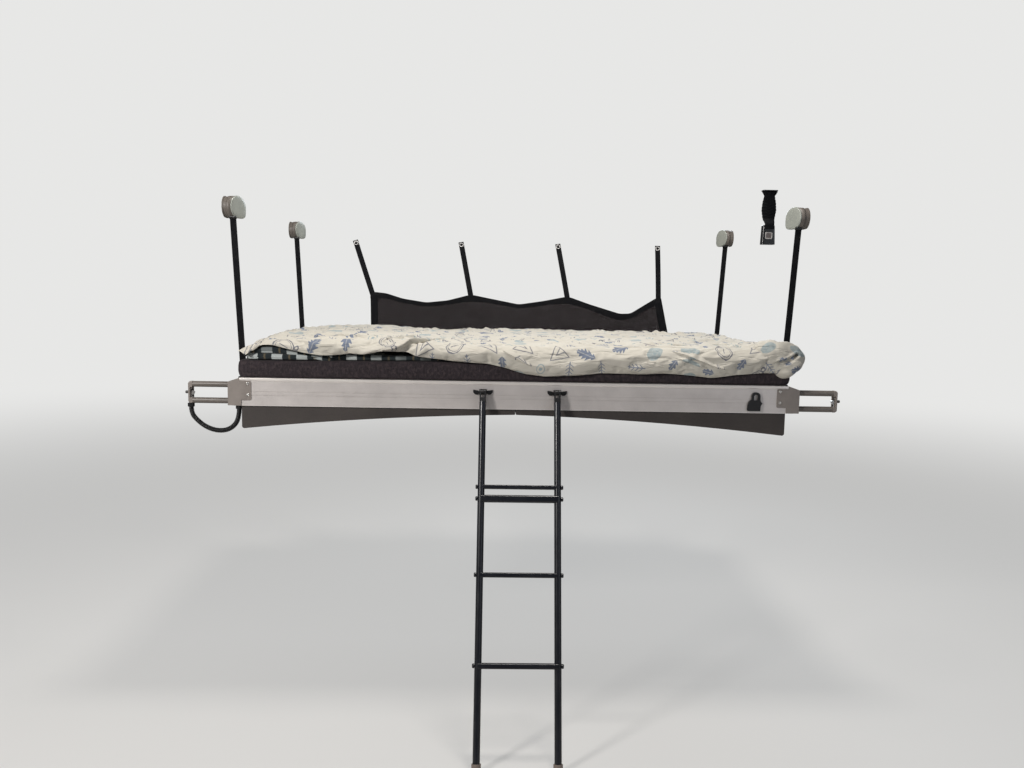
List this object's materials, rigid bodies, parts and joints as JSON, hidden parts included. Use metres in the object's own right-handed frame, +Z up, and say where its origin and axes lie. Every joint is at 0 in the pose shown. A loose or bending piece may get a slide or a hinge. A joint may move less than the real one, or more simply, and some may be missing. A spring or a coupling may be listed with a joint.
{
  "type": "drop-down bunk bed",
  "caption": "Belt-lifted bunk for a motorhome cab with mattress and bedding, arched soffit, guard net, guide arms and a hook-on ladder.",
  "frame": {"origin": "middle of the four belt anchors, on the level of their rollers", "axes": "+X across the vehicle to the right of someone facing forward, +Y forward to the windscreen, +Z up"},
  "size_m": [2.506, 1.8604, 2.032],
  "materials": {
    "anchor_base_plastic": "dark grey moulded plastic, satin",
    "anchor_cover_plastic": "light grey moulded plastic, satin",
    "belt_guide_plastic": "black moulded plastic",
    "webbing": "black woven webbing",
    "net_mesh": "black open mesh",
    "net_stud_metal": "nickel-plated snap studs",
    "rail_aluminium": "champagne-anodised extrusion, satin",
    "bracket_paint": "grey-beige powder coat",
    "black_plastic": "black moulded plastic",
    "bumper_rubber": "black rubber",
    "conduit_plastic": "black corrugated tube",
    "soffit_cover": "dark brown-grey covered panel",
    "deck_plywood": "raw plywood",
    "mattress_cover": "charcoal-brown woven cover",
    "blanket_plaid": "black, dark green and white check",
    "sheet_print": "cream cotton with small blue-grey motifs",
    "ladder_paint": "black gloss powder coat",
    "foot_rubber": "white rubber"
  },
  "bodies": {
    "vehicle_side": {"anchor_base_front_left": "anchor_base_plastic", "anchor_base_front_right": "anchor_base_plastic", "anchor_base_rear_left": "anchor_base_plastic", "anchor_base_rear_right": "anchor_base_plastic", "anchor_cover_front_left": "anchor_cover_plastic", "anchor_cover_front_right": "anchor_cover_plastic", "anchor_cover_rear_left": "anchor_cover_plastic", "anchor_cover_rear_right": "anchor_cover_plastic", "belt_front_left": "webbing", "belt_front_right": "webbing", "belt_rear_left": "webbing", "belt_rear_right": "webbing", "net_hem": "webbing", "net_panel": "net_mesh", "net_straps": "webbing", "net_studs": "net_stud_metal", "lock_plate": "black_plastic", "lock_strap": "webbing", "lock_buckle": "black_plastic"},
    "bunk": {"arm_bumpers": "bumper_rubber", "arm_end_left": "bracket_paint", "arm_end_right": "bracket_paint", "arm_rods_left": "bracket_paint", "arm_rods_right": "bracket_paint", "belt_guide_front_left": "belt_guide_plastic", "belt_guide_front_right": "belt_guide_plastic", "belt_guide_rear_left": "belt_guide_plastic", "belt_guide_rear_right": "belt_guide_plastic", "blanket": "blanket_plaid", "conduit": "conduit_plastic", "conduit_glands": "black_plastic", "corner_bracket_front_left": "bracket_paint", "corner_bracket_front_right": "bracket_paint", "corner_bracket_rear_left": "bracket_paint", "corner_bracket_rear_right": "bracket_paint", "deck_board": "deck_plywood", "ladder_receiver_left": "black_plastic", "ladder_receiver_right": "black_plastic", "lock_tongue": "black_plastic", "mattress": "mattress_cover", "net_batten": "bracket_paint", "rail_front": "rail_aluminium", "rail_left": "rail_aluminium", "rail_rear": "rail_aluminium", "rail_right": "rail_aluminium", "soffit_left": "soffit_cover", "soffit_right": "soffit_cover", "top_sheet": "sheet_print"},
    "ladder": {"ladder_foot_left": "foot_rubber", "ladder_foot_right": "foot_rubber", "ladder_hook_left": "black_plastic", "ladder_hook_right": "black_plastic", "ladder_rung_1": "ladder_paint", "ladder_rung_2": "ladder_paint", "ladder_rung_3": "ladder_paint", "ladder_rung_4": "ladder_paint", "ladder_stile_left": "ladder_paint", "ladder_stile_right": "ladder_paint"}
  },
  "joints": [
    {"name": "bunk_lift", "type": "slide", "parent": "vehicle_side", "child": "bunk", "axis": [0, 0, 1], "range_m": [0, 0.5], "deforming": ["belt_rear_left", "belt_rear_right", "belt_front_left", "belt_front_right", "net_hem", "net_panel", "net_straps"]},
    {"name": "ladder_swing", "type": "hinge", "parent": "bunk", "child": "ladder", "pos_m": [0.016, -0.676, -0.687], "axis": [-1, 0, 0], "range_deg": [0, 60]}
  ]
}
